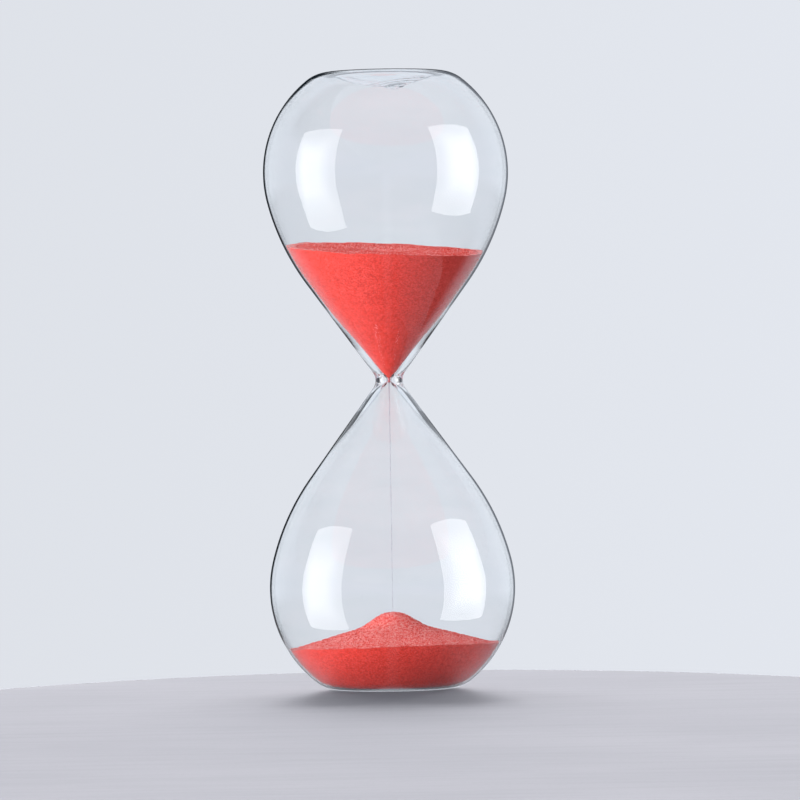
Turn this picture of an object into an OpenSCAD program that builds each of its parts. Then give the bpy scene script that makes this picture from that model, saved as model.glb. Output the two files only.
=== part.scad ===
// Free-standing hourglass: two blown glass bulbs fused at a narrow throat, with no frame.
// Sand runs from the upper bulb through the throat on to a heap in the lower bulb.
// It stands on a ring round a dished end, and the other end is the same, so it can be turned over.
// Millimetres, +Z up, origin at the centre of the ring that it stands on.

/* [Overall size] */
// Height of the hourglass, from ring to ring
height = 160; // [156:1:164]
// Outer diameter of each bulb at its widest
bulb_d = 63.5; // [62.5:0.5:64.5]
// Height of a bulb's widest circle above the throat, as a share of half the height
belly_share = 0.673; // [0.66:0.001:0.685]

/* [Bulb shape] */
// Angle between a bulb's straight cone and its axis
cone_angle = 36; // [35.5:0.25:36.5]
// How far the cone side of a bulb is rounded tighter than its flank, as an angle of the wall
blend_angle = 14; // [8:1:18]
// Radius of the round part of a bulb, as a share of its largest radius
round_share = 0.97; // [0.96:0.01:0.98]
// Radius of the shoulder between the round part and the end ring
shoulder_r = 9.6; // [9:0.2:12]

/* [Glass] */
// Wall thickness of the bulbs
wall = 0.55; // [0.45:0.05:0.8]
// Wall thickness of the dished ends
end_wall = 0.9; // [0.7:0.1:1.3]
// Width of the flat land on the ring that the hourglass stands on
ring_w = 1.2; // [0.8:0.1:1.8]
// Depth of the dish inside the ring
dish_depth = 3; // [2:0.25:4]

/* [Throat] */
// Outer diameter of the glass at the waist
waist_d = 7; // [6.4:0.1:7.6]
// Radius of the fillet at the waist
waist_fillet = 3.5; // [3:0.1:3.8]
// Diameter of the metering hole
orifice_d = 1; // [0.8:0.05:1.4]
// Length of the metering hole
orifice_len = 1.3; // [0.8:0.1:2]
// Distance from the waist to where the funnel over the hole runs into the bulb's wall
funnel_d = 15; // [13:0.5:18]
// Distance from the waist to the fused joint with each bulb
joint_d = 5; // [4:0.5:6.5]

/* [End seals] */
// Diameter of the glass seal that closes each end
seal_d = 7.5; // [6:0.5:9]
// Distance of the upper seal from the axis, towards +X
seal_shift = 2.9; // [0:0.1:3.5]
// How far a seal's lump stands into the bulb from the dished wall
seal_lump = 0.8; // [0.5:0.1:1.2]

/* [Sand in the upper bulb] */
// Height of the sand's surface above the waist, on the axis
upper_level = 34; // [20:0.5:42]
// Slope of the surface, down towards +X
upper_tilt_side = 2.9; // [0:0.1:5]
// Slope of the surface, down towards the front
upper_tilt_front = 4.6; // [0:0.1:6]
// Radius of the hollow over the throat
crater_r = 8; // [4:0.5:11]
// Depth of the hollow over the throat
crater_depth = 1.8; // [0.5:0.1:3]

/* [Sand in the lower bulb] */
// Height of the sand's edge above the table, on average
lower_level = 11.3; // [9:0.1:18]
// Slope of the bed, up towards +X
lower_tilt_side = 1.1; // [0:0.1:3]
// Slope of the bed, up towards the front
lower_tilt_front = 1.6; // [0:0.1:4]
// Height of the heap above the sand's edge
heap_h = 8.6; // [6:0.1:10]
// Radius of the heap's foot
heap_r = 25.2; // [22:0.2:25.6]
// Diameter of the falling stream where it lands
stream_d = 0.5; // [0.4:0.05:0.8]

/* [Hidden] */
$fn = 96;

GLASS = [0.80, 0.88, 0.92, 0.35];
GLASS_THICK = [0.62, 0.78, 0.80, 0.6];
SAND = [0.93, 0.36, 0.34];
SAND_FINE = [0.86, 0.52, 0.56];

// A profile is a list of [radius, distance from the waist]. It is the same for both bulbs.
half = height / 2;
belly = half * belly_share;
round_r = bulb_d / 2 * round_share;
round_c = [bulb_d / 2 - round_r, belly];

// The waist's fillet turns into the bulb's cone, whose line has this radius at the waist
waist_c = [waist_d / 2 + waist_fillet, 0];
cone_r0 = waist_c[0] - waist_fillet / cos(cone_angle);

// The flank arc touches the cone at one end and runs into the round part at the other
cone_clear = (cone_r0 + belly * tan(cone_angle) - round_c[0]) * cos(cone_angle) - round_r;
flank_extra = cone_clear / (1 - cos(cone_angle - blend_angle));
flank_r = round_r + flank_extra;
flank_c = round_c + flank_extra * [-cos(blend_angle), sin(blend_angle)];

// The shoulder arc touches the round part and the plane of the end ring
shoulder_y = half - shoulder_r - belly;
shoulder_x = sqrt(pow(round_r - shoulder_r, 2) - pow(shoulder_y, 2));
shoulder_c = round_c + [shoulder_x, shoulder_y];
shoulder_angle = atan2(shoulder_y, shoulder_x);
ring_r = shoulder_c[0];

// The dish inside the ring is part of a ball
dish_r = ring_r - ring_w;
dish_ball_r = (dish_r * dish_r + dish_depth * dish_depth) / (2 * dish_depth);
dish_ball_d = half - dish_depth + dish_ball_r;

// A seal's lump is part of a smaller ball
seal_ball_r = (seal_d * seal_d / 4 + seal_lump * seal_lump) / (2 * seal_lump);

// Grains keep this far from the glass, and the stream this far from the heap
grain_gap = 0.08;
landing_gap = 0.05;
// Radius of the bottom of the hollow over the throat
crater_floor_r = 0.6;
// Reach of the shapes that only cut others, and how far shapes run into each other
cut = bulb_d;
overlap = 2;

// Points on an arc round c, from angle a0 to a1, no more than arc_step apart
arc_step = 4.5;
function arc(c, r, a0, a1) =
    let (steps = ceil(abs(a1 - a0) / arc_step))
    [for (i = [0:steps]) let (a = a0 + (a1 - a0) * i / steps) c + r * [cos(a), sin(a)]];

// Radius of the outer cone at a distance from the waist
function cone_at(d) = cone_r0 + d * tan(cone_angle);

// From the flank round the widest circle to the ring, a thickness t in from the outside
function wall_arcs(t) = concat(
    arc(flank_c, flank_r - t, -cone_angle, -blend_angle),
    arc(round_c, round_r - t, -blend_angle, 0),
    arc(round_c, round_r - t, 0, shoulder_angle),
    arc(shoulder_c, shoulder_r - t, shoulder_angle, 90));

// Ends of the funnel over the metering hole, a thickness t in from the outside
function funnel(t) = [[orifice_d / 2 + wall - t, orifice_len / 2],
                      [cone_at(funnel_d) - t / cos(cone_angle), funnel_d]];

// Radius of the funnel at a distance from the waist
function funnel_at(d) = lookup(d, [for (p = funnel(wall)) [p[1], p[0]]]);

// Height of the heap over the bed at radius r: a blunt crown on a skirt with a rounded tip
crown_share = 0.256;
crown_r = 6.4;
crown_power = 3;
tip_r = 3;
heap_steps = 24;
function tip_drop(r) = sqrt(r * r + tip_r * tip_r) - tip_r;
function heap_at(r) =
    heap_h * (crown_share * exp(-pow(r / crown_r, crown_power))
              + (1 - crown_share) * (1 - tip_drop(r) / tip_drop(heap_r)));

// The stream lands on the crown
landing = lower_level + heap_h + landing_gap;

module from_waist() {
    translate([0, 0, half]) children();
}

module downwards() {
    mirror([0, 0, 1]) children();
}

// Ball that the dished end follows, grown by t
module dish_ball(t) {
    translate([0, 0, dish_ball_d]) sphere(r = dish_ball_r + t);
}

// Everything inside the glass of one bulb, t in from the outside
module inside(t) {
    difference() {
        rotate_extrude()
            polygon(concat([[0, orifice_len / 2]], funnel(t), wall_arcs(t), [[0, half - t]]));
        dish_ball(end_wall + t - wall);
    }
}

module bulb(shift) {
    neck = [cone_at(joint_d), joint_d];
    difference() {
        rotate_extrude()
            polygon(concat([[0, joint_d], neck], wall_arcs(0), [[0, half]]));
        inside(wall);
        dish_ball(0);
        on_dish(shift) seal_rod();
    }
}

// Swings a seal round the dish, so that it stands square to the glass away from the axis
module on_dish(shift) {
    translate([0, 0, dish_ball_d]) rotate([0, -asin(shift / dish_ball_r), 0])
        translate([0, 0, -dish_ball_d]) children();
}

// Straight rod through the end wall, where a seal goes
module seal_rod() {
    translate([0, 0, half - dish_depth - end_wall - overlap])
        cylinder(d = seal_d, h = dish_depth + end_wall + 2 * overlap);
}

// Ball whose cap is the seal's lump, grown by t
module seal_ball(t) {
    lump_tip = half - dish_depth - end_wall - seal_lump;
    translate([0, 0, lump_tip + seal_ball_r]) sphere(r = seal_ball_r + t);
}

// Plug of glass through the end wall, with a lump on its inner side
module end_seal(shift) {
    on_dish(shift) difference() {
        intersection() {
            seal_rod();
            union() {
                dish_ball(end_wall);
                seal_ball(0);
            }
        }
        dish_ball(0);
    }
}

module upper_bulb() {
    color(GLASS) from_waist() bulb(seal_shift);
}

module lower_bulb() {
    color(GLASS) from_waist() downwards() bulb(0);
}

module upper_end_seal() {
    color(GLASS_THICK) from_waist() end_seal(seal_shift);
}

module lower_end_seal() {
    color(GLASS_THICK) from_waist() downwards() end_seal(0);
}

module neck_throat() {
    rim = [cone_at(joint_d), joint_d];
    lip = [funnel_at(joint_d), joint_d];
    hole = [orifice_d / 2, orifice_len / 2];
    color(GLASS_THICK) from_waist()
        rotate_extrude()
            polygon(concat(
                [[rim[0], -rim[1]]],
                arc(waist_c, waist_fillet, 180 + cone_angle, 180 - cone_angle),
                [rim, lip, hole, [hole[0], -hole[1]], [lip[0], -lip[1]]]));
}

// Half-space under a surface that slopes down towards the front and +X
module under(front, side) {
    rotate([front, side, 0]) translate([-cut, -cut, -2 * cut]) cube(2 * cut);
}

module upper_sand() {
    color(SAND) from_waist()
        difference() {
            intersection() {
                inside(wall + grain_gap);
                translate([0, 0, upper_level]) under(upper_tilt_front, upper_tilt_side);
            }
            translate([0, 0, upper_level]) rotate([upper_tilt_front, upper_tilt_side, 0]) crater();
        }
}

// Cone that is crater_r wide at the surface and goes on as far above it as below
module crater() {
    translate([0, 0, -crater_depth])
        cylinder(r1 = crater_floor_r, r2 = 2 * crater_r - crater_floor_r, h = 2 * crater_depth);
}

module lower_sand() {
    color(SAND)
        difference() {
            intersection() {
                from_waist() downwards() inside(wall + grain_gap);
                translate([0, 0, lower_level]) union() {
                    under(-lower_tilt_front, -lower_tilt_side);
                    rotate([-lower_tilt_front, -lower_tilt_side, 0]) heap();
                }
            }
            from_waist() downwards() seal_ball(grain_gap);
        }
}

// The heap alone, on the plane of the bed and a little way into it
module heap() {
    top = [for (i = [0:heap_steps]) let (r = heap_r * (1 - i / heap_steps)) [r, heap_at(r)]];
    rotate_extrude() polygon(concat([[0, -overlap], [heap_r, -overlap]], top));
}

module sand_stream() {
    hole_r = orifice_d / 2 - grain_gap;
    color(SAND_FINE)
        rotate_extrude()
            polygon([[0, half + orifice_len / 2], [hole_r, half + orifice_len / 2],
                     [hole_r, half - orifice_len / 2], [stream_d / 2, landing], [0, landing]]);
}

upper_bulb();
neck_throat();
lower_bulb();
upper_end_seal();
lower_end_seal();
upper_sand();
sand_stream();
lower_sand();
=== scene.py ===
"""Looks of the hourglass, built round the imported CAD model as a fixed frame.

Metres, +Z up, origin on the table under the middle of the object.
A profile is a list of (radius, distance from the waist), as in the CAD source, and serves both bulbs.
"""

import math

import bpy
import numpy as np
from mathutils import Matrix, Vector, noise


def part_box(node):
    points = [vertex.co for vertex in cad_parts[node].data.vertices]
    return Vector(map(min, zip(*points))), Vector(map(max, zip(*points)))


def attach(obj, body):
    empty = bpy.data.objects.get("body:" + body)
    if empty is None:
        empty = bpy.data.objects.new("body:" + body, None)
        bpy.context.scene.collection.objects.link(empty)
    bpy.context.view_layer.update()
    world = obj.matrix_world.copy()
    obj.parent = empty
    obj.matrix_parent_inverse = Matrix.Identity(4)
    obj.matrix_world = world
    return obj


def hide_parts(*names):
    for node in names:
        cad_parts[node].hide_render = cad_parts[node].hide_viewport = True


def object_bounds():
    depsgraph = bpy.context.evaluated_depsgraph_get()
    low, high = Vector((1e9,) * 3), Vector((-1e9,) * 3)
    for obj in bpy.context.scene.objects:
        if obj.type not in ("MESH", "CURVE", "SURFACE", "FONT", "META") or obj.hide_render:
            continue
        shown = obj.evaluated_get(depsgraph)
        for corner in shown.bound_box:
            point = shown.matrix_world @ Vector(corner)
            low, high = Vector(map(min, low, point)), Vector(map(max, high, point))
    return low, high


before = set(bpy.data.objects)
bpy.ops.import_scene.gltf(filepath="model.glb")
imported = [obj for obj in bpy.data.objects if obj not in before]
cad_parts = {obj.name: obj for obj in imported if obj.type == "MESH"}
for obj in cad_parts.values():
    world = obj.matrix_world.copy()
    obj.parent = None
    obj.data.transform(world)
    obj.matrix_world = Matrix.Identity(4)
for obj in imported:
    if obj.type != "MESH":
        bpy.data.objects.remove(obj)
cad_low, cad_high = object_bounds()

MM = 0.001

# Sizes from the frame
HALF = (cad_high.z - cad_low.z) / 2
BULB_R = (cad_high.x - cad_low.x) / 2
WAIST_Z = cad_low.z + HALF
neck_low, neck_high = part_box("neck_throat")
JOINT_D = (neck_high.z - neck_low.z) / 2
upper_seal_low, upper_seal_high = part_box("upper_end_seal")
UPPER_SEAL_X = (upper_seal_low.x + upper_seal_high.x) / 2
heap_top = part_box("lower_sand")[1].z

# The CAD source's driving dimensions for the bulb's shape
BELLY = HALF * 0.673
CONE_ANGLE = 36.0
BLEND_ANGLE = 14.0
ROUND_R = BULB_R * 0.97
SHOULDER_R = 9.6 * MM
WALL = 0.55 * MM
END_WALL = 0.9 * MM
RING_W = 1.2 * MM
DISH_DEPTH = 3 * MM
WAIST_R = 3.5 * MM
WAIST_FILLET = 3.5 * MM
ORIFICE_R = 0.5 * MM
ORIFICE_HALF = 0.65 * MM
FUNNEL_D = 15 * MM
SEAL_R = 3.75 * MM
SEAL_LUMP = 0.8 * MM
GRAIN_GAP = 0.08 * MM

# The CAD source's driving dimensions for the sand. Slopes rise towards +X and towards the back.
UPPER_LEVEL = WAIST_Z + 34 * MM
UPPER_SLOPE = (-math.tan(math.radians(2.9)), math.tan(math.radians(4.6)))
CRATER_R = 8 * MM
CRATER_DEPTH = 1.8 * MM
LOWER_LEVEL = 11.3 * MM
LOWER_SLOPE = (math.tan(math.radians(1.1)), -math.tan(math.radians(1.6)))
HEAP_H = 8.6 * MM
HEAP_R = 25.2 * MM
CROWN_SHARE = 0.256
CROWN_R = 6.4 * MM
CROWN_POWER = 3
TIP_R = 3 * MM

# Derived shape, as in the CAD source
cone_turn = math.radians(CONE_ANGLE)
blend_turn = math.radians(BLEND_ANGLE)
round_c = (BULB_R - ROUND_R, BELLY)
waist_c = (WAIST_R + WAIST_FILLET, 0.0)
cone_r0 = waist_c[0] - WAIST_FILLET / math.cos(cone_turn)
cone_clear = (cone_r0 + BELLY * math.tan(cone_turn) - round_c[0]) * math.cos(cone_turn) - ROUND_R
flank_extra = cone_clear / (1 - math.cos(cone_turn - blend_turn))
FLANK_R = ROUND_R + flank_extra
flank_c = (round_c[0] - flank_extra * math.cos(blend_turn),
           round_c[1] + flank_extra * math.sin(blend_turn))
shoulder_y = HALF - SHOULDER_R - BELLY
shoulder_x = math.sqrt((ROUND_R - SHOULDER_R) ** 2 - shoulder_y ** 2)
shoulder_c = (round_c[0] + shoulder_x, round_c[1] + shoulder_y)
shoulder_angle = math.degrees(math.atan2(shoulder_y, shoulder_x))
RING_R = shoulder_c[0]
DISH_R = RING_R - RING_W
DISH_BALL_R = (DISH_R ** 2 + DISH_DEPTH ** 2) / (2 * DISH_DEPTH)
DISH_BALL_D = HALF - DISH_DEPTH + DISH_BALL_R

# Marks of the tool round a seal: height and step of the ripples, how far they reach, and their calm middle
SWIRL_HEIGHT = 0.13 * MM
SWIRL_STEP = 1.75 * MM
SWIRL_REACH = 5.2 * MM
SWIRL_CALM = 0.8 * MM

# Radii and numbers of grains, and rings of the sand's mesh
FALLING_GRAIN = 0.062 * MM
LOOSE_GRAIN = 0.12 * MM
LOOSE_COUNT = 3600
PACKED_COUNT = 420
FALLING_COUNT = 900
SIDE_RINGS = 120
UPPER_TOP_RINGS = 70
LOWER_TOP_RINGS = 90

# Distance of the soft lights from the object, and of the lamps behind it
LIGHT_D = 1.6
BACK_D = 30.0

SEGMENTS = 192
TURN = np.linspace(0, 2 * math.pi, SEGMENTS, endpoint=False)


# ---------------------------------------------------------------- profiles

def arc(centre, radius, first, last, step=1.5):
    """Points on an arc between two angles in degrees."""
    count = max(2, math.ceil(abs(last - first) / step))
    turns = np.radians(np.linspace(first, last, count + 1))
    return [(centre[0] + radius * math.cos(a), centre[1] + radius * math.sin(a)) for a in turns]


def line(start, end, step=1.2 * MM):
    """Points on a straight line."""
    count = max(1, math.ceil(math.dist(start, end) / step))
    return [tuple(np.add(start, np.subtract(end, start) * k / count)) for k in range(count + 1)]


def rounded(start, corner, end, count=7):
    """Points on a smooth bend from start to end that leans to the corner."""
    bend = []
    for t in np.linspace(0, 1, count):
        bend.append(tuple((1 - t) ** 2 * np.array(start) + 2 * t * (1 - t) * np.array(corner)
                          + t * t * np.array(end)))
    return bend


def joined(*parts):
    """One list of points without repeats where parts meet."""
    points = []
    for part in parts:
        for p in part:
            if not points or math.dist(points[-1], p) > 1e-7:
                points.append(p)
    return points


def dish_at(radius, depth):
    """Distance of the dish from the waist at a radius, a depth into its wall."""
    return DISH_BALL_D - np.sqrt((DISH_BALL_R + depth) ** 2 - np.square(radius))


def outer_wall():
    """From the waist to the inner edge of the ring, outside."""
    fillet = arc(waist_c, WAIST_FILLET, 180, 180 - CONE_ANGLE, 4)
    flank = arc(flank_c, FLANK_R, -CONE_ANGLE, -BLEND_ANGLE, 0.8)
    edge = 0.45 * MM
    edge_end = (DISH_R - edge, float(dish_at(DISH_R - edge, 0)))
    edge_bend = rounded((DISH_R + edge, HALF), (DISH_R, HALF), edge_end)
    return joined(fillet, line(fillet[-1], flank[0]), flank,
                  arc(round_c, ROUND_R, -BLEND_ANGLE, shoulder_angle),
                  arc(shoulder_c, SHOULDER_R, shoulder_angle, 90, 2.5), edge_bend)


def inner_wall(depth, end_depth):
    """From the metering hole to the edge of the dish, inside, a depth in from the outside."""
    start = (ORIFICE_R + WALL - depth, ORIFICE_HALF)
    corner = (cone_r0 + FUNNEL_D * math.tan(cone_turn) - depth / math.cos(cone_turn), FUNNEL_D)
    flank = arc(flank_c, FLANK_R - depth, -CONE_ANGLE, -BLEND_ANGLE, 0.8)
    into_wall = rounded(np.add(start, 0.75 * np.subtract(corner, start)),
                        corner, np.add(corner, 0.4 * np.subtract(flank[0], corner)))
    last_angle = 80
    shoulder = arc(shoulder_c, SHOULDER_R - depth, shoulder_angle, last_angle, 2.5)
    corner_r = math.sqrt((DISH_BALL_R + end_depth) ** 2 - (DISH_BALL_D - HALF + depth) ** 2)
    dish_edge = DISH_R - 0.9 * MM
    bend_end = (dish_edge, float(dish_at(dish_edge, end_depth)))
    bend = rounded(shoulder[-1], (corner_r, HALF - depth), bend_end)
    return joined(line(start, into_wall[0]), into_wall, line(into_wall[-1], flank[0]), flank,
                  arc(round_c, ROUND_R - depth, -BLEND_ANGLE, shoulder_angle), shoulder, bend)


# ---------------------------------------------------------------- skins

def blown(grid):
    """A blown bulb isn't perfectly round: a slow change of radius that skins and sand share."""
    turn = np.arctan2(grid[..., 1], grid[..., 0])
    height = (grid[..., 2] - WAIST_Z) / HALF
    swell = (0.0011 * np.cos(2 * turn + 0.6 + 1.3 * height)
             + 0.0007 * np.cos(3 * turn - 1.1 - 2.0 * height)
             + 0.0006 * np.sin(9.0 * height + 0.8) * np.cos(turn + 2.1))
    grid[..., 0] *= 1 + swell
    grid[..., 1] *= 1 + swell
    return grid


def lathe(profile, way):
    """Rings of points for a profile, above the waist for way 1 and below it for way -1."""
    radius = np.array([p[0] for p in profile])[:, None]
    distance = np.array([p[1] for p in profile])[:, None]
    flat = np.ones_like(TURN)[None, :]
    return np.stack([radius * np.cos(TURN), radius * np.sin(TURN),
                     (WAIST_Z + way * distance) * flat], axis=-1)


def lump_at(distance):
    """Height of a seal's melted lump at a distance from its centre."""
    return SEAL_LUMP * np.clip(1 - np.square(distance / SEAL_R), 0, 1) ** 1.6


def swirl_at(distance, turn):
    """Ripples that the tool left in the soft glass round a seal."""
    wave = np.cos(2 * math.pi * distance / SWIRL_STEP - turn)
    fade = np.exp(-np.square(distance / SWIRL_REACH)) * np.clip(distance / SWIRL_CALM, 0, 1)
    return SWIRL_HEIGHT * wave * fade


def dish(way, edge_r, depth, seal_x, lump, ripple):
    """Rings from the edge of the dish to the middle of its seal."""
    seal_c = seal_x * (DISH_BALL_R + depth) / DISH_BALL_R
    zone = SEAL_R * 1.25
    outside = np.linspace(edge_r, SEAL_R, 23)
    inside = np.linspace(SEAL_R, 0, 12)[1:]
    rings = np.concatenate([outside, inside])[:, None]
    shift = seal_c * np.clip((edge_r - rings) / (edge_r - zone), 0, 1)
    x = shift + rings * np.cos(TURN)
    y = rings * np.sin(TURN)
    from_seal = np.hypot(x - seal_c, y)
    around = np.arctan2(y, x - seal_c)
    fade = np.clip((edge_r - rings) / (2.5 * MM), 0, 1)
    distance = dish_at(np.hypot(x, y), depth) - lump * lump_at(from_seal)
    distance = distance + ripple * fade * swirl_at(from_seal, around)
    return np.stack([x, y, WAIST_Z + way * distance], axis=-1), len(outside) - 1


def half_skin(wall, way, depth, seal_x, lump, ripple):
    """Rings from the waist to the middle of the seal, and the number of the ring at the seal's edge."""
    rings = lathe(wall, way)
    end, seal_ring = dish(way, wall[-1][0], depth, seal_x, lump, ripple)
    return blown(np.concatenate([rings, end[1:]])), len(wall) - 1 + seal_ring


def skin(wall, depth, lump, ripple):
    """A whole skin from the lower seal to the upper one, and its rings where the pieces meet."""
    lower, lower_seal = half_skin(wall, -1, depth, 0.0, lump, ripple)
    upper, upper_seal = half_skin(wall, 1, depth, UPPER_SEAL_X, lump, ripple)
    grid = np.concatenate([lower[::-1], upper[1:] if wall[0][1] == 0 else upper])
    joint = int(np.argmin([abs(p[1] - JOINT_D) for p in wall]))
    from_top = len(grid) - len(upper)
    rings = {"lower_seal": len(lower) - 1 - lower_seal, "lower_joint": len(lower) - 1 - joint,
             "upper_joint": from_top + joint, "upper_seal": from_top + upper_seal}
    return grid, rings


def with_joint(wall):
    """The same wall with a ring exactly at the fused joint."""
    after = next(i for i, p in enumerate(wall) if p[1] > JOINT_D)
    before, behind = wall[after - 1], wall[after]
    share = (JOINT_D - before[1]) / (behind[1] - before[1])
    at_joint = (before[0] + share * (behind[0] - before[0]), JOINT_D)
    if JOINT_D - before[1] < behind[1] - JOINT_D:
        return wall[:after - 1] + [at_joint] + wall[after:]
    return wall[:after] + [at_joint] + wall[after + 1:]


def ring_normals(grid, outwards):
    """Smooth normals of a grid of rings, continuous where pieces meet."""
    along = np.gradient(grid, axis=0)
    around = np.roll(grid, -1, axis=1) - np.roll(grid, 1, axis=1)
    normals = np.cross(around, along)
    for pole, near in ((0, 1), (-1, -2)):
        normals[pole] = normals[near].mean(axis=0)
    normals /= np.maximum(np.linalg.norm(normals, axis=-1, keepdims=True), 1e-12)
    return normals if outwards else -normals


# ---------------------------------------------------------------- meshes

class Shape:
    """Collects the points, faces and normals of one closed piece."""

    def __init__(self):
        self.points, self.faces, self.normals, self.slots = [], [], [], []

    def rings(self, grid, normals, flip):
        """Adds a band of rings, and gives back each ring's point numbers and normals.

        A ring of no size becomes one point.
        """
        numbers = []
        for ring, ring_normal in zip(grid, normals):
            first = len(self.points)
            if np.ptp(ring[:, :2], axis=0).max() < 1e-7:
                self.points.append(ring[0])
                numbers.append(([first] * SEGMENTS, ring_normal))
            else:
                self.points.extend(ring)
                numbers.append((list(range(first, first + SEGMENTS)), ring_normal))
        for (a, na), (b, nb) in zip(numbers, numbers[1:]):
            self.band(a, b, na, nb, flip, 0)
        return numbers

    def band(self, a, b, na, nb, flip, slot):
        """Joins two rings with faces of the material in a slot."""
        for k in range(SEGMENTS):
            m = (k + 1) % SEGMENTS
            corners = [(a[k], na[k]), (a[m], na[m]), (b[m], nb[m]), (b[k], nb[k])]
            kept = [c for i, c in enumerate(corners) if c[0] != corners[i - 1][0]]
            if flip:
                kept.reverse()
            self.faces.append([c[0] for c in kept])
            self.normals.extend(c[1] for c in kept)
            self.slots.append(slot)

    def seam(self, a, b, flip):
        """Closes two rings of different skins with the flat fused joint between pieces."""
        across = np.array(self.points[b[0][0]]) - np.array(self.points[a[0][0]])
        tangent = np.array(self.points[a[0][1]]) - np.array(self.points[a[0][0]])
        face = np.cross(tangent, across)
        face /= np.linalg.norm(face)
        flats = []
        for k in range(SEGMENTS):
            spin = Matrix.Rotation(TURN[k], 3, "Z")
            flats.append(np.array(spin @ Vector(-face if flip else face)))
        self.band(a[0], b[0], flats, flats, flip, 1)

    def build(self, name, materials):
        """The object with these points, faces and normals."""
        mesh = bpy.data.meshes.new(name)
        mesh.from_pydata([tuple(p) for p in self.points], [], self.faces)
        mesh.polygons.foreach_set("material_index", self.slots)
        mesh.polygons.foreach_set("use_smooth", [True] * len(self.faces))
        mesh.update()
        mesh.normals_split_custom_set([tuple(n) for n in self.normals])
        for material in materials:
            mesh.materials.append(material)
        piece = bpy.data.objects.new(name, mesh)
        bpy.context.scene.collection.objects.link(piece)
        return piece


def glass_piece(name, outer, inner, outer_rings, inner_rings, material):
    """One closed piece of the glass between two rings of each skin, or from a ring to the pole."""
    shape = Shape()
    (outer_grid, outer_normals), (inner_grid, inner_normals) = outer, inner
    first, last = outer_rings
    outside = shape.rings(outer_grid[first:last + 1], outer_normals[first:last + 1], False)
    first, last = inner_rings
    inside = shape.rings(inner_grid[first:last + 1], inner_normals[first:last + 1], True)
    if len(set(outside[0][0])) > 1:
        shape.seam(outside[0], inside[0], True)
    if len(set(outside[-1][0])) > 1:
        shape.seam(outside[-1], inside[-1], False)
    return shape.build(name, [material, fused])


def sand_piece(name, grid, material):
    """A closed heap of sand from rings that start and end at a pole."""
    shape = Shape()
    shape.rings(grid, ring_normals(grid, True), False)
    return shape.build(name, [material])


# ---------------------------------------------------------------- sand

def on_wall(profile, way, level, slope, ragged):
    """Rings of sand against the glass, from the start of the profile up to the sand's edge.

    The edge lies on a sloping plane, so each direction has its own stretch of the profile.
    """
    radius = np.array([p[0] for p in profile])
    height = np.array([WAIST_Z + way * p[1] for p in profile])
    run = np.concatenate([[0], np.cumsum(np.hypot(np.diff(radius), np.diff(height)))])
    rising = np.argsort(height)
    edge = np.full(SEGMENTS, level)
    for _ in range(6):
        edge_r = np.interp(edge, height[rising], radius[rising])
        edge = level + edge_r * (slope[0] * np.cos(TURN) + slope[1] * np.sin(TURN)) + ragged
    end = np.interp(edge, height[rising], run[rising])
    share = np.linspace(0, 1, SIDE_RINGS)[:, None]
    at = share * end[None, :]
    ring_r = np.interp(at, run, radius)
    ring_z = np.interp(at, run, height)
    return np.stack([ring_r * np.cos(TURN), ring_r * np.sin(TURN), ring_z], axis=-1)


def roughened(grid, size, amount, seed):
    """Moves points along their normals by grain-sized noise, only away from the glass."""
    normals = ring_normals(grid, True)
    moved = grid.copy()
    for i in range(1, len(grid) - 1):
        for k in range(SEGMENTS):
            p = Vector(grid[i, k] / size) + Vector((seed, 0, 0))
            moved[i, k] -= normals[i, k] * amount * (0.5 + 0.5 * noise.noise(p))
    return moved


def ragged_edge(seed, amount):
    """A small random rise and fall of the sand's edge round the glass."""
    out = []
    for a in TURN:
        ring = Vector((math.cos(a), math.sin(a), seed))
        rise = noise.noise(ring * 3.0) + 0.5 * noise.noise(ring * 11.0) + 0.35 * noise.noise(ring * 40.0)
        out.append(amount * rise)
    return np.array(out)


def surface_rings(edge, height_at, rows):
    """Rings of a sand surface, from the edge on the glass in to its middle."""
    share = np.linspace(0, 1, rows)[1:, None]
    x = edge[:, 0] * (1 - share)
    y = edge[:, 1] * (1 - share)
    plane = height_at(x, y)
    miss = edge[:, 2] - height_at(edge[:, 0], edge[:, 1])
    return np.stack([x, y, plane + miss * (1 - share) ** 3], axis=-1)


def dunes(x, y, seed):
    """Slow unevenness of poured sand."""
    out = np.zeros_like(x)
    flat_x, flat_y, flat_out = x.ravel(), y.ravel(), out.ravel()
    for i in range(len(flat_x)):
        p = Vector((flat_x[i] / (6 * MM), flat_y[i] / (6 * MM), seed))
        flat_out[i] = 0.16 * MM * noise.noise(p) + 0.07 * MM * noise.noise(p * 3.1)
    return flat_out.reshape(x.shape)


def upper_surface(x, y):
    """Height of the upper sand: a sloping plane with a soft hollow over the throat."""
    r = np.hypot(x, y)
    hollow = CRATER_DEPTH * np.clip(1 - r / CRATER_R, 0, 1)
    soft = CRATER_DEPTH * 0.12 * np.exp(-np.square((r - CRATER_R) / (2 * MM)))
    return UPPER_LEVEL + UPPER_SLOPE[0] * x + UPPER_SLOPE[1] * y - hollow - soft + dunes(x, y, 3.7)


def tip_drop(r):
    """How far a cone with a rounded tip has dropped at radius r, for a slope of one."""
    return np.hypot(r, TIP_R) - TIP_R


def lower_surface(x, y):
    """Height of the lower sand: a sloping bed with a blunt crown on a wide skirt."""
    r = np.hypot(x, y)
    crown = CROWN_SHARE * np.exp(-(r / CROWN_R) ** CROWN_POWER)
    skirt = (1 - CROWN_SHARE) * np.clip(1 - tip_drop(r) / tip_drop(HEAP_R), 0, 1)
    foot = np.clip(1 - r / HEAP_R, 0, 1)
    return (LOWER_LEVEL + LOWER_SLOPE[0] * x + LOWER_SLOPE[1] * y + HEAP_H * (crown + skirt)
            + dunes(x, y, 8.1) * np.clip(foot * 8 + 0.4, 0, 1))


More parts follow.
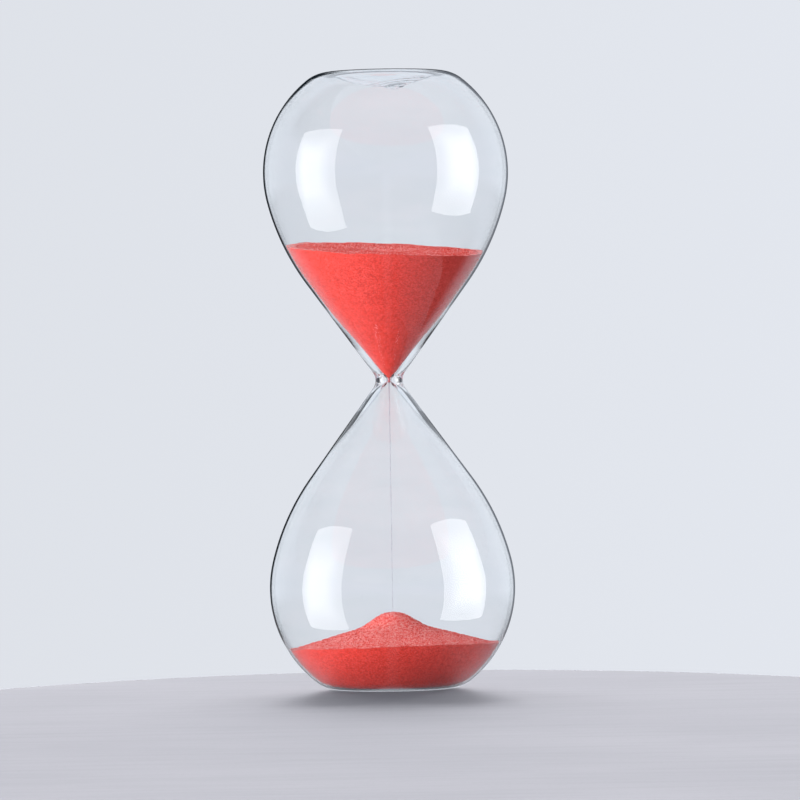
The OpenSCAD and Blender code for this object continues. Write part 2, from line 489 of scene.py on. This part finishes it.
def upper_sand_grid():
    """Rings of the upper sand, from the hole up the glass and in over the surface."""
    wall = inner_wall(WALL + GRAIN_GAP, END_WALL + GRAIN_GAP)
    wall = [(wall[0][0] * k / 4, wall[0][1]) for k in range(4)] + wall
    side = on_wall(wall, 1, UPPER_LEVEL, UPPER_SLOPE, ragged_edge(1.5, 0.28 * MM))
    top = surface_rings(side[-1], upper_surface, UPPER_TOP_RINGS)
    return blown(np.concatenate([side, top]))


def lower_sand_grid():
    """Rings of the lower sand, from the middle of the dish up the glass and in over the surface."""
    wall = inner_wall(WALL + GRAIN_GAP, END_WALL + GRAIN_GAP)
    floor, _ = dish(-1, wall[-1][0], END_WALL + GRAIN_GAP, 0.0, 1.0, 0.0)
    side = on_wall(wall[::-1], -1, LOWER_LEVEL, LOWER_SLOPE, ragged_edge(6.5, 0.25 * MM))
    top = surface_rings(side[-1], lower_surface, LOWER_TOP_RINGS)
    return blown(np.concatenate([floor[::-1][:-1], side, top]))


def grains(name, spots, size, seed, material):
    """Many small broken grains at given places, as one mesh. Each is a chipped icosahedron."""
    rng = np.random.default_rng(seed)
    golden = (1 + math.sqrt(5)) / 2
    corners = np.array([(-1, golden, 0), (1, golden, 0), (-1, -golden, 0), (1, -golden, 0),
                        (0, -1, golden), (0, 1, golden), (0, -1, -golden), (0, 1, -golden),
                        (golden, 0, -1), (golden, 0, 1), (-golden, 0, -1), (-golden, 0, 1)])
    corners /= np.linalg.norm(corners[0])
    sides = np.array([(0, 11, 5), (0, 5, 1), (0, 1, 7), (0, 7, 10), (0, 10, 11), (1, 5, 9), (5, 11, 4),
                      (11, 10, 2), (10, 7, 6), (7, 1, 8), (3, 9, 4), (3, 4, 2), (3, 2, 6), (3, 6, 8),
                      (3, 8, 9), (4, 9, 5), (2, 4, 11), (6, 2, 10), (8, 6, 7), (9, 8, 1)])
    points, faces = [], []
    for i, spot in enumerate(spots):
        turned = np.linalg.qr(rng.normal(size=(3, 3)))[0]
        turned *= np.sign(np.linalg.det(turned))
        chipped = corners * rng.uniform(0.75, 1.2, (12, 1)) * rng.uniform(0.75, 1.15, 3)
        points.append(spot + chipped @ turned.T * size * rng.uniform(0.7, 1.25))
        faces.append(sides + 12 * i)
    mesh = bpy.data.meshes.new(name)
    mesh.from_pydata(np.concatenate(points).tolist(), [], np.concatenate(faces).tolist())
    mesh.materials.append(material)
    piece = bpy.data.objects.new(name, mesh)
    bpy.context.scene.collection.objects.link(piece)
    return piece


def spots_on(grid, first_ring, count, seed, rise):
    """Random places on the rings of a sand surface, evenly by area."""
    rng = np.random.default_rng(seed)
    edge = grid[first_ring]
    reach = np.hypot(edge[:, 0], edge[:, 1]).min()
    spots = []
    rings = len(grid) - 1 - first_ring
    while len(spots) < count:
        share = math.sqrt(rng.uniform(0, 1))
        k = rng.integers(SEGMENTS)
        row = (1 - share) * rings
        i = first_ring + int(row)
        t = row - int(row)
        p = grid[i, k] * (1 - t) + grid[min(i + 1, len(grid) - 1), k] * t
        q = grid[i, (k + 1) % SEGMENTS]
        p = p + (q - grid[i, k]) * rng.uniform(0, 1)
        if np.hypot(p[0], p[1]) < reach - 0.25 * MM:
            spots.append(p + np.array([0, 0, rise * rng.uniform(0.2, 1)]))
    return np.array(spots)


def stream_spots():
    """Places of the grains packed in the hole, and of those below it, drawn out as they speed up."""
    rng = np.random.default_rng(11)
    packed, falling = [], []
    bore = ORIFICE_R - GRAIN_GAP - 0.06 * MM
    for _ in range(PACKED_COUNT):
        a, r = rng.uniform(0, 2 * math.pi), bore * math.sqrt(rng.uniform(0, 1))
        packed.append((r * math.cos(a), r * math.sin(a), WAIST_Z + rng.uniform(-0.95, 0.95) * ORIFICE_HALF))
    fall_top = WAIST_Z - ORIFICE_HALF
    fall = fall_top - heap_top
    start_speed = 0.14
    gravity = 9.81
    end_speed = math.sqrt(start_speed ** 2 + 2 * gravity * fall)
    fall_time = (end_speed - start_speed) / gravity
    for _ in range(FALLING_COUNT):
        t = rng.uniform(0, fall_time)
        z = fall_top - start_speed * t - gravity * t * t / 2
        narrow = 0.30 + 0.70 * math.exp(-(fall_top - z) / (1.5 * MM))
        a, r = rng.uniform(0, 2 * math.pi), bore * narrow * abs(rng.normal(0, 0.55))
        falling.append((min(r, bore) * math.cos(a), min(r, bore) * math.sin(a), z))
    return np.array(packed), np.array(falling)


# ---------------------------------------------------------------- materials

class Tree:
    """Short names for building a node tree."""

    def __init__(self, owner):
        owner.use_nodes = True
        self.nodes, self.links = owner.node_tree.nodes, owner.node_tree.links
        self.nodes.clear()

    def add(self, kind, **values):
        node = self.nodes.new(kind)
        for key, value in values.items():
            setattr(node, key, value)
        return node

    def put(self, node, **inputs):
        """Sets inputs to a value or another node's output. i0 is input 0, and a name's _ is a space."""
        for key, value in inputs.items():
            numbered = key[0] == "i" and key[1:].isdigit()
            socket = node.inputs[int(key[1:]) if numbered else key.replace("_", " ")]
            if isinstance(value, bpy.types.NodeSocket):
                self.links.new(value, socket)
            else:
                socket.default_value = value
        return node

    def math(self, operation, a, b=0.0):
        node = self.add("ShaderNodeMath", operation=operation)
        self.put(node, i0=a, i1=b)
        return node.outputs[0]

    def both(self, a, b):
        """The product of two shares."""
        return self.math("MULTIPLY", a, b)

    def mix(self, share, a, b):
        """A colour between a and b."""
        node = self.add("ShaderNodeMix", data_type="RGBA", blend_type="MIX")
        for number, value in ((0, share), (6, a), (7, b)):
            if isinstance(value, bpy.types.NodeSocket):
                self.links.new(value, node.inputs[number])
            else:
                node.inputs[number].default_value = value
        return node.outputs[2]

    def noise(self, scale, detail=2.0, vector=None, rough=0.5):
        node = self.add("ShaderNodeTexNoise")
        self.put(node, Scale=scale, Detail=detail, Roughness=rough)
        self.links.new(vector or self.place(), node.inputs["Vector"])
        return node.outputs["Fac"]

    def place(self):
        """Position on the object, in metres."""
        return self.add("ShaderNodeTexCoord").outputs["Object"]

    def stretched(self, scale):
        """Position on the object, scaled differently along each axis."""
        node = self.add("ShaderNodeMapping")
        self.put(node, Vector=self.place(), Scale=scale)
        return node.outputs[0]

    def ramp(self, value, low, high, first=0.0, last=1.0):
        """Goes from first to last while the value goes from low to high."""
        node = self.add("ShaderNodeMapRange", clamp=True)
        self.put(node, Value=value)
        node.inputs["From Min"].default_value = low
        node.inputs["From Max"].default_value = high
        node.inputs["To Min"].default_value = first
        node.inputs["To Max"].default_value = last
        return node.outputs[0]


def glass(name, face_tint, edge_tint_and_shade, waviness):
    """Clear borosilicate glass, a little greener and darker where it is seen edge on: partly its own green,
    partly a painted dark outline.

    Shadows and soft light pass straight through it with a slight tint.
    """
    material = bpy.data.materials.new(name)
    t = Tree(material)
    edge = t.put(t.add("ShaderNodeLayerWeight"), Blend=0.35).outputs["Facing"]
    streaks = t.noise(1.0, 3.0, t.stretched((60, 60, 240)))
    # Painted shade: seen edge on, the glass turns to the edge tint, its own green with a painted dark
    # outline
    tint = t.mix(t.math("POWER", edge, 3.0), face_tint, edge_tint_and_shade)
    tint = t.mix(t.ramp(streaks, 0.35, 0.75, 0.0, 0.5), tint, edge_tint_and_shade)
    ripple = t.add("ShaderNodeBump")
    t.put(ripple, Strength=waviness, Distance=0.02 * MM, Height=t.noise(110.0, 1.0))
    clear = t.add("ShaderNodeBsdfPrincipled")
    t.put(clear, Base_Color=tint, Roughness=0.0, IOR=1.47, Transmission_Weight=1.0,
          Normal=ripple.outputs[0])
    paths = t.add("ShaderNodeLightPath")
    through = t.put(t.add("ShaderNodeBsdfTransparent"), Color=(0.97, 0.97, 0.972, 1))
    lit = t.put(t.add("ShaderNodeMixShader"), Fac=paths.outputs["Is Diffuse Ray"],
                i1=clear.outputs[0], i2=through.outputs[0])
    shade = t.put(t.add("ShaderNodeMixShader"), Fac=paths.outputs["Is Shadow Ray"],
                  i1=lit.outputs[0], i2=through.outputs[0])
    t.put(t.add("ShaderNodeOutputMaterial"), Surface=shade.outputs[0])
    return material


def fused_joint():
    """Where two pieces of glass are melted together there is nothing to see."""
    material = bpy.data.materials.new("fused_joint")
    t = Tree(material)
    shader = t.put(t.add("ShaderNodeBsdfPrincipled"), Base_Color=(1, 1, 1, 1), Alpha=0.0)
    t.put(t.add("ShaderNodeOutputMaterial"), Surface=shader.outputs[0])
    return material


def sand(name, dark, middle, light, top_light):
    """Dyed quartz sand: grains of several shades, a few of which glint. Faces turned up are painted paler:
    a painted light from above and a painted sheen of the grains.
    """
    material = bpy.data.materials.new(name)
    t = Tree(material)
    grain = t.add("ShaderNodeTexVoronoi", feature="F1")
    t.put(grain, Vector=t.place(), Scale=3600.0)
    shade = t.add("ShaderNodeSeparateColor")
    t.put(shade, Color=grain.outputs["Color"])
    clumps = t.noise(900.0, 3.0, rough=0.65)
    bands = t.noise(1.0, 2.0, t.stretched((45, 45, 160)))
    value = t.math("ADD", t.math("MULTIPLY", shade.outputs[0], 0.5), t.math("MULTIPLY", clumps, 0.5))
    colour = t.mix(t.ramp(value, 0.15, 0.5), dark, middle)
    colour = t.mix(t.ramp(value, 0.5, 0.9), colour, light)
    colour = t.mix(t.ramp(bands, 0.35, 0.7, 0.0, 0.25), colour, middle)
    normal = t.add("ShaderNodeSeparateXYZ")
    t.put(normal, Vector=t.add("ShaderNodeNewGeometry").outputs["Normal"])
    # Painted light: where the sand faces up it turns to the paler top colour, standing in for light from
    # above and the grains' sheen
    painted_top_light = t.mix(t.ramp(value, 0.35, 0.62), middle, top_light)
    colour = t.mix(t.ramp(normal.outputs[2], 0.55, 0.9, 0.0, 0.9), colour, painted_top_light)
    glint = t.ramp(shade.outputs[1], 0.93, 0.97)
    bump = t.add("ShaderNodeBump")
    height = t.math("SUBTRACT", t.math("MULTIPLY", clumps, 0.6),
                    t.math("MULTIPLY", grain.outputs["Distance"], 0.6))
    t.put(bump, Strength=0.5, Distance=0.10 * MM, Height=height)
    shader = t.add("ShaderNodeBsdfPrincipled")
    t.put(shader, Base_Color=colour, Roughness=t.ramp(glint, 0, 1, 0.85, 0.25), Normal=bump.outputs[0])
    shader.inputs["Specular IOR Level"].default_value = 0.06
    t.put(t.add("ShaderNodeOutputMaterial"), Surface=shader.outputs[0])
    return material


def table_top():
    """Pale honed stone. Its bevel and sides, where the top ends, are painted near black: painted shade."""
    material = bpy.data.materials.new("table_top")
    t = Tree(material)
    cloud = t.noise(9.0, 6.0, rough=0.6)
    speck = t.noise(900.0, 2.0)
    brushed = t.noise(1.0, 5.0, t.stretched((16, 150, 1)), 0.7)
    colour = t.mix(t.ramp(cloud, 0.3, 0.7), (0.42, 0.42, 0.455, 1), (0.46, 0.46, 0.495, 1))
    colour = t.mix(t.ramp(speck, 0.55, 0.75, 0.0, 0.18), colour, (0.30, 0.31, 0.33, 1))
    colour = t.mix(t.ramp(brushed, 0.45, 0.7, 0.0, 0.25), colour, (0.33, 0.33, 0.36, 1))
    normal = t.add("ShaderNodeSeparateXYZ")
    t.put(normal, Vector=t.add("ShaderNodeNewGeometry").outputs["Normal"])
    # Painted shade: faces that turn away from the top, at the bevel and the sides, are near black
    colour = t.mix(t.ramp(normal.outputs[2], 0.985, 1.0), (0.06, 0.06, 0.065, 1), colour)
    bump = t.put(t.add("ShaderNodeBump"), Strength=0.15, Distance=0.1 * MM, Height=speck)
    shader = t.add("ShaderNodeBsdfPrincipled")
    t.put(shader, Base_Color=colour, Roughness=t.ramp(cloud, 0.2, 0.8, 0.6, 0.7), Normal=bump.outputs[0])
    shader.inputs["Specular IOR Level"].default_value = 0.0
    t.put(t.add("ShaderNodeOutputMaterial"), Surface=shader.outputs[0])
    return material


# ---------------------------------------------------------------- stage

def table(material):
    """A pale oval slab. Its far edge passes a little behind the object."""
    half_wide, half_deep, behind, thick, bevel = 0.178, 0.350, 0.101, 0.018, 0.0015
    middle_y = behind - half_deep
    profile = [(0.0, 0.0), (0.5, 0.0), (1.0 - 2 * bevel / half_wide, 0.0), (1.0 - bevel / half_wide, 0.0)]
    for k in range(1, 6):
        a = math.radians(90 - 18 * k)
        profile.append((1.0 - (1 - math.cos(a)) * bevel / half_wide, -(1 - math.sin(a)) * bevel))
    profile += [(1.0, -thick), (0.5, -thick), (0.0, -thick)]
    top = cad_low.z - 0.03 * MM
    sides = 256
    turns = np.linspace(0, 2 * math.pi, sides, endpoint=False)
    points, faces = [], []
    for share, drop in profile:
        points += [(share * half_wide * math.cos(a), middle_y + share * half_deep * math.sin(a), top + drop)
                   for a in turns]
    for i in range(len(profile) - 1):
        for k in range(sides):
            m = (k + 1) % sides
            faces.append((i * sides + k, (i + 1) * sides + k, (i + 1) * sides + m, i * sides + m))
    mesh = bpy.data.meshes.new("table_top")
    mesh.from_pydata(points, [], faces)
    mesh.polygons.foreach_set("use_smooth", [True] * len(faces))
    mesh.materials.append(material)
    piece = bpy.data.objects.new("table_top", mesh)
    bpy.context.scene.collection.objects.link(piece)
    piece.visible_glossy = False
    return piece


def area_light(name, place, facing, size, radiance):
    """A rectangular area light that faces along -facing."""
    data = bpy.data.lights.new(name, "AREA")
    data.shape = "RECTANGLE"
    data.size, data.size_y = size
    data.energy = 4 * size[0] * size[1] * radiance
    lamp = bpy.data.objects.new(name, data)
    bpy.context.scene.collection.objects.link(lamp)
    lamp.location = place
    lamp.rotation_euler = facing.to_track_quat("Z", "Y").to_euler()
    lamp.visible_camera = False
    return lamp


def direction(azimuth, elevation=0.0):
    """Unit vector from the object. Azimuth is from the front towards +X, in degrees."""
    a, e = math.radians(azimuth), math.radians(elevation)
    return Vector((math.sin(a) * math.cos(e), -math.cos(a) * math.cos(e), math.sin(e)))


def group(name, members):
    """A collection that a lamp's light or shadows can be limited to."""
    collection = bpy.data.collections.new(name)
    for piece in members:
        collection.objects.link(piece)
    return collection


def only_lights(lamp, receivers):
    """Makes a lamp light only these pieces, with shadows of the object alone, unseen in the glass."""
    lamp.visible_glossy = False
    lamp.visible_transmission = False
    lamp.light_linking.receiver_collection = receivers
    lamp.light_linking.blocker_collection = object_only


def light(name, azimuth, elevation, distance, size, radiance, receivers):
    """A soft light that lights some pieces and is never seen in the glass."""
    away = direction(azimuth, elevation)
    lamp = area_light(name, Vector((0, 0, WAIST_Z)) + away * distance, away, size, radiance)
    only_lights(lamp, receivers)


def panel(name, facing, first, last, low, high, radiance):
    """A softbox that lights nothing and is only seen mirrored in the glass.

    It stands square to one azimuth. It reaches from the first azimuth to the last, and from low to
    high over the waist, as shares of its distance. Its middle is brighter than its rim.
    """
    near = LIGHT_D * math.tan(math.radians(first - facing))
    far = LIGHT_D * math.tan(math.radians(last - facing))
    across = direction(facing + 90)
    place = (Vector((0, 0, WAIST_Z + LIGHT_D * (low + high) / 2)) + direction(facing) * LIGHT_D
             + across * (near + far) / 2)
    lamp = area_light(name, place, direction(facing), (abs(far - near), LIGHT_D * (high - low)), radiance)
    lamp.visible_diffuse = False
    lamp.visible_transmission = False
    t = Tree(lamp.data)
    spot = t.add("ShaderNodeSeparateXYZ")
    t.put(spot, Vector=t.add("ShaderNodeNewGeometry").outputs["Parametric"])
    from_middle = [t.math("ABSOLUTE", t.math("SUBTRACT", spot.outputs[k], 0.5)) for k in (0, 1)]
    glow = t.ramp(t.math("MAXIMUM", *from_middle), 0.42, 0.18, 0.7, 1.3)
    emission = t.put(t.add("ShaderNodeEmission"), Strength=glow)
    t.put(t.add("ShaderNodeOutputLight"), Surface=emission.outputs[0])


def bent_view(t, axes, depth, backdrop):
    """What is seen through glass: the backdrop, and dark where the glass bends the look far aside.

    Solid glass is what a look enters and leaves once. It shows more of the dark than a thin wall.
    """
    y, z = axes[1:]
    strip = t.both(t.ramp(y, 0.88, 0.85), t.ramp(y, 0.77, 0.80))
    solid = t.math("LESS_THAN", depth, 2.5)
    strip = t.math("MAXIMUM", strip, t.both(solid, t.ramp(y, 0.90, 0.82)))
    level = t.ramp(t.math("ABSOLUTE", z), 0.45, 0.35)
    return t.mix(t.both(strip, level), backdrop, (0.03, 0.035, 0.045, 1))


def mirrored_view(t, axes, depth):
    """What is seen after a mirroring: a bright room with a dark strip behind the object."""
    x, y, z = axes
    width = t.math("ABSOLUTE", x)

    # The room grows brighter from the front to the backdrop, and is bluer overhead
    room = t.mix(t.ramp(y, -0.5, 0.0), (0.50, 0.50, 0.66, 1), (0.55, 0.59, 0.70, 1))
    room = t.mix(t.ramp(y, 0.3, 0.8), room, (0.82, 0.87, 0.95, 1))
    room = t.mix(t.ramp(z, 0.55, 0.75), room, (0.72, 0.80, 0.92, 1))

    # Looks down, unless far behind, meet a table that is dark at the right
    dark_side = t.both(t.ramp(x, -0.3, 0.3), t.ramp(y, -0.5, -0.2))
    below = t.mix(dark_side, (0.56, 0.54, 0.56, 1), (0.02, 0.02, 0.025, 1))
    room = t.mix(t.both(t.ramp(z, -0.30, -0.45), t.ramp(y, 0.65, 0.45)), room, below)

    # Nearly straight behind are dark cards, open at the middle and below it
    edge = t.mix(t.ramp(x, -0.1, 0.35), (0.01, 0.015, 0.02, 1), (0.24, 0.26, 0.30, 1))
    sideways = t.math("SUBTRACT", width, t.math("MAXIMUM", t.math("MULTIPLY", z, -1.0), 0.0))
    aside = t.math("MAXIMUM", t.ramp(sideways, 0.02, 0.05), t.ramp(z, 0.03, 0.07))
    flag = t.both(t.ramp(z, 0.19, 0.25), t.ramp(y, 0.83, 0.87))
    flag = t.both(flag, t.both(t.ramp(width, 0.08, 0.12), t.ramp(width, 0.32, 0.28)))
    close = t.math("MAXIMUM", t.ramp(y, 0.925, 0.95), flag)
    view = t.mix(t.both(close, aside), room, edge)

    # The outside of the glass also mirrors a dim table at both sides
    outside = t.math("LESS_THAN", depth, 0.5)
    down = t.both(t.ramp(z, -0.05, -0.15), t.ramp(width, 0.04, 0.10))
    return t.mix(t.both(outside, down), view, (0.16, 0.15, 0.16, 1))


def soft_fill(t, axes):
    """The light of the room on the table and the sand, mostly from the backdrop."""
    y, z = axes[1:]
    fill = t.mix(t.ramp(y, -0.3, 0.6), (0.225, 0.233, 0.257, 1), (0.70, 0.72, 0.77, 1))
    return t.mix(t.ramp(z, 0.2, 0.7), fill, (0.29, 0.29, 0.315, 1))


def surroundings():
    """A pale backdrop for the camera, and a room that answers to each kind of ray.

    The table and the sand get its soft fill. Looks straight through glass, and looks that a surface
    has mirrored, get the backdrop and the room with dark parts that draw the glass's outline.
    """
    world = bpy.data.worlds.new("room")
    bpy.context.scene.world = world
    t = Tree(world)
    separate = t.add("ShaderNodeSeparateXYZ")
    t.put(separate, Vector=t.add("ShaderNodeTexCoord").outputs["Generated"])
    axes = tuple(separate.outputs)
    paths = t.add("ShaderNodeLightPath").outputs
    depth = paths["Transmission Depth"]
    backdrop = t.mix(t.ramp(axes[0], -0.07, 0.07), (0.735, 0.762, 0.815, 1), (0.765, 0.795, 0.855, 1))
    bounced = t.math("GREATER_THAN", paths["Glossy Depth"], 0.5)
    glassy = t.math("MAXIMUM", paths["Is Transmission Ray"], paths["Is Glossy Ray"])
    in_glass = t.mix(bounced, bent_view(t, axes, depth, backdrop), mirrored_view(t, axes, depth))
    seen = t.mix(glassy, soft_fill(t, axes), in_glass)
    seen = t.mix(paths["Is Camera Ray"], seen, backdrop)
    background = t.put(t.add("ShaderNodeBackground"), Color=seen)
    t.put(t.add("ShaderNodeOutputWorld"), Surface=background.outputs[0])


def camera():
    """A long lens a little below the height of the waist, almost level, with a slight roll."""
    data = bpy.data.cameras.new("camera")
    data.sensor_width = 36
    data.lens = 265.6
    data.clip_start, data.clip_end = 0.05, 10
    piece = bpy.data.objects.new("camera", data)
    bpy.context.scene.collection.objects.link(piece)
    eye = Vector((2.76 * MM, -1.53, 77.4 * MM))
    aim = Vector((2.76 * MM, 0, 74.8 * MM))
    roll = math.radians(0.96)
    back = (eye - aim).normalized()
    right = Vector((math.sin(roll), 0, math.cos(roll))).cross(back).normalized()
    turned = Matrix((right, back.cross(right), back)).transposed().to_4x4()
    piece.matrix_world = Matrix.Translation(eye) @ turned
    bpy.context.scene.camera = piece


# ---------------------------------------------------------------- the object

camera()
surroundings()
panel("left_panel", facing=-46.5, first=-93, last=-48, low=-0.73, high=0.80, radiance=4.6)
panel("right_panel", facing=52, first=49, last=98, low=-0.55, high=0.83, radiance=4.9)

# Each edge tint is the glass's own green with a painted dark outline where it is seen edge on
bulb_glass = glass("bulb_glass", face_tint=(0.985, 0.992, 0.996, 1),
                   edge_tint_and_shade=(0.93, 0.96, 0.965, 1), waviness=0.25)
throat_glass = glass("throat_glass", face_tint=(0.975, 0.988, 0.988, 1),
                     edge_tint_and_shade=(0.90, 0.94, 0.94, 1), waviness=0.35)
seal_glass = glass("seal_glass", face_tint=(0.975, 0.99, 0.985, 1),
                   edge_tint_and_shade=(0.88, 0.94, 0.92, 1), waviness=0.5)
fused = fused_joint()
red_sand = sand("red_sand", dark=(0.50, 0.026, 0.018, 1), middle=(0.78, 0.048, 0.034, 1),
                light=(0.92, 0.10, 0.08, 1), top_light=(0.83, 0.33, 0.31, 1))
# A paler pink copy of the red sand for the grains in the hole: a painted highlight
highlit_hole_sand = sand("highlit_hole_sand", dark=(0.60, 0.09, 0.10, 1), middle=(0.80, 0.22, 0.24, 1),
                 light=(0.92, 0.50, 0.54, 1), top_light=(0.85, 0.40, 0.44, 1))
# A dark grey-violet copy of the red sand for the falling grains: painted shade
shaded_stream_sand = sand("shaded_stream_sand", dark=(0.25, 0.20, 0.30, 1), middle=(0.34, 0.28, 0.38, 1),
                   light=(0.46, 0.40, 0.50, 1), top_light=(0.42, 0.36, 0.47, 1))

outer_grid, outer_at = skin(with_joint(outer_wall()), 0.0, 0.0, 1.0)
hole_and_wall = joined([(ORIFICE_R, 0.0)], inner_wall(WALL, END_WALL))
inner_grid, inner_at = skin(with_joint(hole_and_wall), END_WALL, 1.0, -0.8)
outer_skin = (outer_grid, ring_normals(outer_grid, True))
inner_skin = (inner_grid, ring_normals(inner_grid, False))


def between(first, last):
    """The rings of both skins between two joints. None stands for the pole."""
    spans = []
    for grid, at in ((outer_grid, outer_at), (inner_grid, inner_at)):
        spans.append((at[first] if first else 0, at[last] if last else len(grid) - 1))
    return spans


pieces = []


def place(piece, node, slot):
    """Lets a piece stand for a CAD node. Sand throws no soft red light on the table."""
    pieces.append(piece)
    piece.visible_diffuse = slot not in ("sand", "falling_sand")
    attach(piece, "root")
    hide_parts(node)


for node, first, last, material, slot in (
        ("lower_end_seal", None, "lower_seal", seal_glass, "seal_glass"),
        ("lower_bulb", "lower_seal", "lower_joint", bulb_glass, "glass"),
        ("neck_throat", "lower_joint", "upper_joint", throat_glass, "throat_glass"),
        ("upper_bulb", "upper_joint", "upper_seal", bulb_glass, "glass"),
        ("upper_end_seal", "upper_seal", None, seal_glass, "seal_glass")):
    outer_span, inner_span = between(first, last)
    glass_part = glass_piece(node + "_glass", outer_skin, inner_skin, outer_span, inner_span, material)
    place(glass_part, node, slot)

upper_grid = upper_sand_grid()
lower_grid = lower_sand_grid()
upper_rough = roughened(upper_grid, 0.35 * MM, 0.10 * MM, 5)
lower_rough = roughened(lower_grid, 0.35 * MM, 0.10 * MM, 9)
place(sand_piece("upper_sand_bed", upper_rough, red_sand), "upper_sand", "sand")
place(sand_piece("lower_sand_heap", lower_rough, red_sand), "lower_sand", "sand")
packed_spots, falling_spots = stream_spots()
falling = grains("falling_grains", falling_spots, FALLING_GRAIN, 21, shaded_stream_sand)
packed = grains("grains_in_hole", packed_spots, FALLING_GRAIN, 22, highlit_hole_sand)
place(falling, "sand_stream", "falling_sand")
place(packed, "sand_stream", "falling_sand")
lower_top = len(lower_grid) - (LOWER_TOP_RINGS - 1)
for name, grid, first_ring, seed in (("upper_loose_grains", upper_grid, SIDE_RINGS, 31),
                                     ("lower_loose_grains", lower_grid, lower_top, 32)):
    spots = spots_on(grid, first_ring, LOOSE_COUNT, seed, 0.05 * MM)
    loose = grains(name, spots, LOOSE_GRAIN, seed, red_sand)
    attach(loose, "root")
    pieces.append(loose)

object_only = group("object_only", pieces)
low_only = group("low_only", [p for p in pieces if p.name in ("lower_sand_heap", "lower_loose_grains")])
table_only = group("table_only", [table(table_top())])
for name, azimuth, elevation, distance, size, radiance, receivers in (
        ("key_light", -50, 8, LIGHT_D, (1.3, 1.8), 5.5, object_only),
        ("right_light", 75, -10, LIGHT_D, (1.6, 1.8), 0.25, object_only),
        ("top_light", 0, 80, LIGHT_D, (1.3, 1.3), 1.9, object_only),
        ("back_light", 180, 7, BACK_D, (6.0, 4.6), 320.0, table_only),
        ("side_wrap", 180, 9, BACK_D, (34.0, 6.0), 48.0, table_only)):
    light(name, azimuth, elevation, distance, size, radiance, receivers)

# The table in front throws some light up at the lower sand
bounce = area_light("table_bounce", place=Vector((0.09, -0.11, 0)), facing=Vector((0, 0, -1)),
                    size=(0.20, 0.14), radiance=0.4)
only_lights(bounce, low_only)

scene = bpy.context.scene
scene.view_settings.view_transform = "Standard"
scene.cycles.max_bounces = 24
scene.cycles.transmission_bounces = 24
scene.cycles.glossy_bounces = 8
scene.cycles.transparent_max_bounces = 24
scene.cycles.caustics_reflective = False
scene.cycles.caustics_refractive = False
